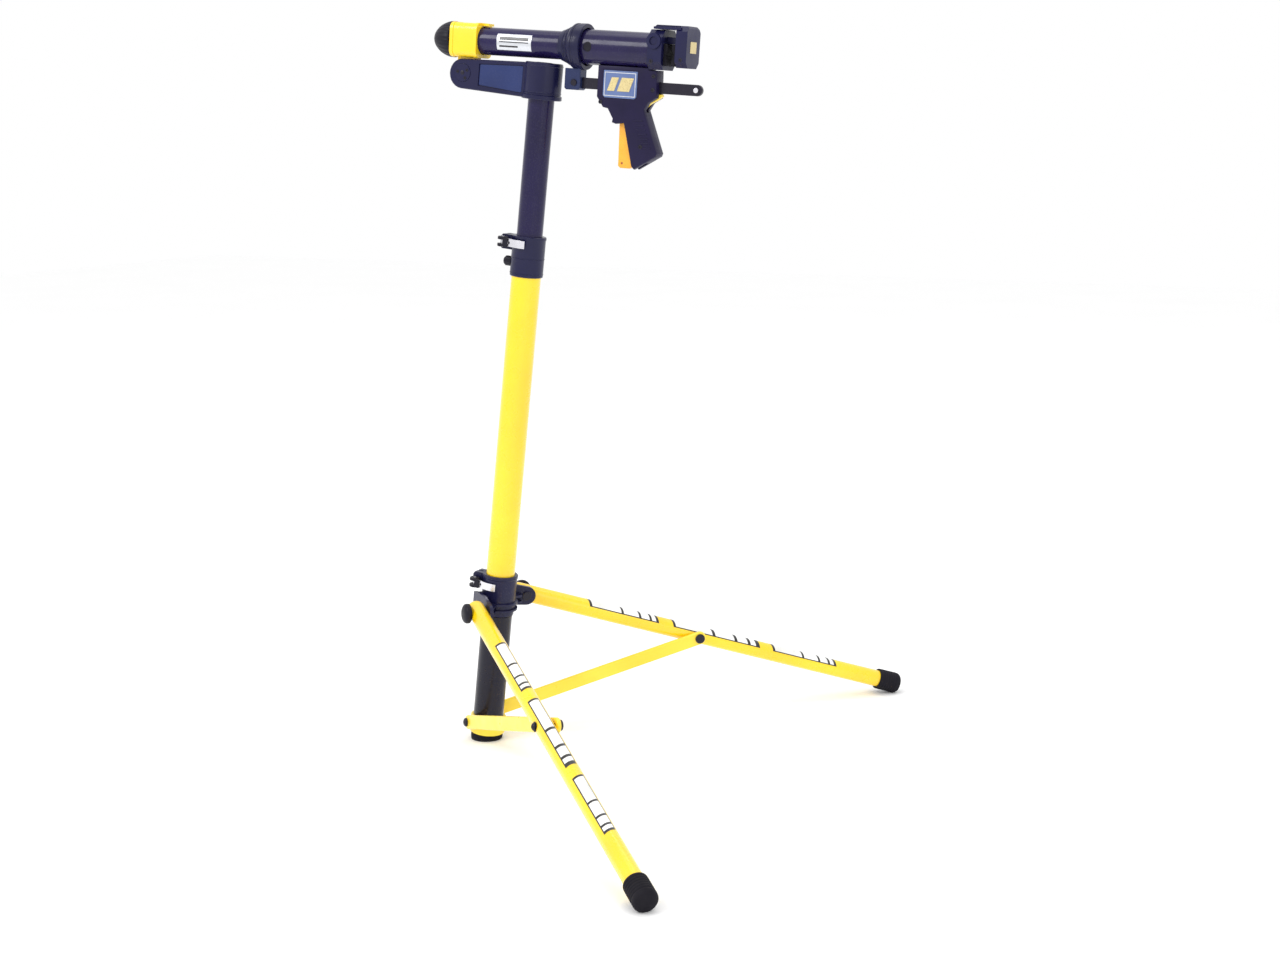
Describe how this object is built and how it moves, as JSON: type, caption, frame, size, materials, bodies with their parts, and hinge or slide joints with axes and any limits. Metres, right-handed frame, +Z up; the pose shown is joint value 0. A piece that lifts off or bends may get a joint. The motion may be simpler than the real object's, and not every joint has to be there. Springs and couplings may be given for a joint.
{
  "type": "repair stand",
  "caption": "Folding workshop stand: leaning telescopic column on two hinged legs and braces, with a tilting, spinning clamp head worked by a pistol-grip trigger.",
  "frame": {"origin": "centre of the column foot, on the floor", "axes": "+Z up, +X the way the column leans and the clamp head points, midway between the two legs"},
  "size_m": [0.6779, 1.2, 1.2641],
  "materials": {
    "yellow_paint": "gloss paint",
    "navy_tube": "gloss paint",
    "navy_casting": "painted casting",
    "yellow_casting": "painted casting",
    "black_rubber": "matte",
    "black_plastic": "moulded",
    "black_steel": "black finish",
    "bright_steel": "plated",
    "navy_plastic": "moulded",
    "blue_casting": "painted casting",
    "blue_plate": "printed plate",
    "orange_plastic": "moulded",
    "yellow_plastic": "moulded"
  },
  "bodies": {
    "column": {"mast_tube": "yellow_paint", "lower_sleeve": "navy_tube", "column_foot_cap": "black_rubber", "strut_ring": "yellow_paint", "ring_bolt_front": "black_steel", "ring_bolt_rear": "black_steel", "upper_clamp_collar": "navy_casting", "guide_bush": "black_plastic", "upper_skewer": "bright_steel", "upper_skewer_nut": "black_plastic"},
    "guide_screw": {"guide_knob": "black_plastic"},
    "upper_quick_lever": {"upper_lever_cam": "black_plastic", "upper_lever_arm": "bright_steel"},
    "leg_carrier": {"leg_collar": "navy_casting", "lower_skewer": "bright_steel", "lower_skewer_nut": "black_plastic", "leg_hinge_pin_front": "black_steel", "leg_hinge_pin_rear": "black_steel", "leg_hinge_cap_front": "black_plastic", "leg_hinge_cap_rear": "black_plastic"},
    "lower_quick_lever": {"lower_lever_cam": "black_plastic", "lower_lever_arm": "bright_steel"},
    "front_leg": {"leg_tube_front": "yellow_paint", "leg_foot_front": "black_rubber", "leg_bolt_front": "black_steel"},
    "rear_leg": {"leg_tube_rear": "yellow_paint", "leg_foot_rear": "black_rubber", "leg_bolt_rear": "black_steel"},
    "front_strut": {"strut_bar_front": "yellow_paint", "strut_pin_front": "black_steel"},
    "rear_strut": {"strut_bar_rear": "yellow_paint", "strut_pin_rear": "black_steel"},
    "upper_post": {"upper_tube": "navy_tube", "upper_tube_glide": "black_plastic", "head_arm": "navy_casting", "tilt_bolt": "navy_casting", "tilt_washer": "navy_casting"},
    "hub": {"swivel_hub": "yellow_casting"},
    "spindle": {"inner_head_tube": "navy_tube", "spindle_plug": "bright_steel", "thrust_collar": "navy_casting", "bar_block": "blue_casting", "block_screw": "bright_steel", "slide_bar": "black_steel", "bar_end_pin": "bright_steel", "jaw_hook": "navy_casting", "hook_pad": "black_rubber"},
    "end_knob": {"lock_knob": "black_plastic"},
    "sliding_jaw": {"outer_head_tube": "navy_tube", "tube_plug": "black_plastic", "guide_ring": "black_plastic", "jaw_housing": "navy_casting", "housing_pad": "black_rubber", "grip_shell_near": "navy_plastic", "grip_shell_far": "navy_plastic", "badge_plate": "blue_plate", "trigger_pin": "bright_steel", "release_pin": "bright_steel"},
    "trigger": {"trigger_lever": "orange_plastic"},
    "release": {"release_lever": "yellow_plastic"}
  },
  "joints": [
    {"name": "leg_carrier_slide", "type": "slide", "parent": "column", "child": "leg_carrier", "axis": [0.1094, 0, 0.994], "range_m": [0, 0.5082]},
    {"name": "front_leg_hinge", "type": "hinge", "parent": "leg_carrier", "child": "front_leg", "pos_m": [0.03497, -0.08369, 0.2548], "axis": [0.6533, 0.7537, -0.0719], "range_deg": [0, 62]},
    {"name": "front_strut_hinge", "type": "hinge", "parent": "column", "child": "front_strut", "pos_m": [-0.02045, -0.02751, 0.03344], "axis": [-0.6533, -0.7537, 0.0719], "range_deg": [0, 49.1]},
    {"name": "rear_leg_hinge", "type": "hinge", "parent": "leg_carrier", "child": "rear_leg", "pos_m": [0.03497, 0.08369, 0.2548], "axis": [-0.6533, 0.7537, 0.0719], "range_deg": [0, 62]},
    {"name": "rear_strut_hinge", "type": "hinge", "parent": "column", "child": "rear_strut", "pos_m": [-0.02045, 0.02751, 0.03344], "axis": [0.6533, -0.7537, -0.0719], "range_deg": [0, 49.1]},
    {"name": "lower_lever_hinge", "type": "hinge", "parent": "leg_carrier", "child": "lower_quick_lever", "pos_m": [-0.00693, -0.0219, 0.29352], "axis": [-0.1094, 0, -0.994], "range_deg": [0, 150]},
    {"name": "upper_lever_hinge", "type": "hinge", "parent": "column", "child": "upper_quick_lever", "pos_m": [0.05935, -0.0219, 0.89588], "axis": [-0.1094, 0, -0.994], "range_deg": [0, 150]},
    {"name": "guide_screw_turn", "type": "hinge", "parent": "column", "child": "guide_screw", "pos_m": [0.05464, 0, 0.8622], "axis": [-0.994, 0, 0.1094], "continuous": true},
    {"name": "height_slide", "type": "slide", "parent": "column", "child": "upper_post", "axis": [0.1094, 0, 0.994], "range_m": [-0.2, 0.25]},
    {"name": "head_tilt", "type": "hinge", "parent": "upper_post", "child": "hub", "pos_m": [-0.01427, 0, 1.17763], "axis": [0, -1, 0], "range_deg": [0, 60]},
    {"name": "head_spin", "type": "hinge", "parent": "hub", "child": "spindle", "pos_m": [-0.01047, 0, 1.23199], "axis": [0.9976, 0, -0.0698], "continuous": true},
    {"name": "end_knob_turn", "type": "hinge", "parent": "spindle", "child": "end_knob", "pos_m": [-0.06533, 0, 1.23583], "axis": [0.9976, 0, -0.0698], "continuous": true},
    {"name": "jaw_slide", "type": "slide", "parent": "spindle", "child": "sliding_jaw", "axis": [0.9976, 0, -0.0698], "range_m": [-0.023, 0.006]},
    {"name": "trigger_pull", "type": "hinge", "parent": "sliding_jaw", "child": "trigger", "pos_m": [0.28778, 0, 1.11039], "axis": [0, -1, 0], "range_deg": [0, 12], "stiffness_Nm_per_rad": 1, "springref_deg": -11.46},
    {"name": "release_press", "type": "hinge", "parent": "sliding_jaw", "child": "release", "pos_m": [0.31283, 0, 1.12468], "axis": [0, 1, 0], "range_deg": [0, 8], "stiffness_Nm_per_rad": 0.3, "springref_deg": -11.46}
  ],
  "couplings": [
    {"joint": "front_leg_hinge", "follows": "leg_carrier_slide", "rad_per_m": 2.1282},
    {"joint": "front_strut_hinge", "follows": "leg_carrier_slide", "rad_per_m": 1.683},
    {"joint": "rear_leg_hinge", "follows": "leg_carrier_slide", "rad_per_m": 2.1282},
    {"joint": "rear_strut_hinge", "follows": "leg_carrier_slide", "rad_per_m": 1.683}
  ]
}
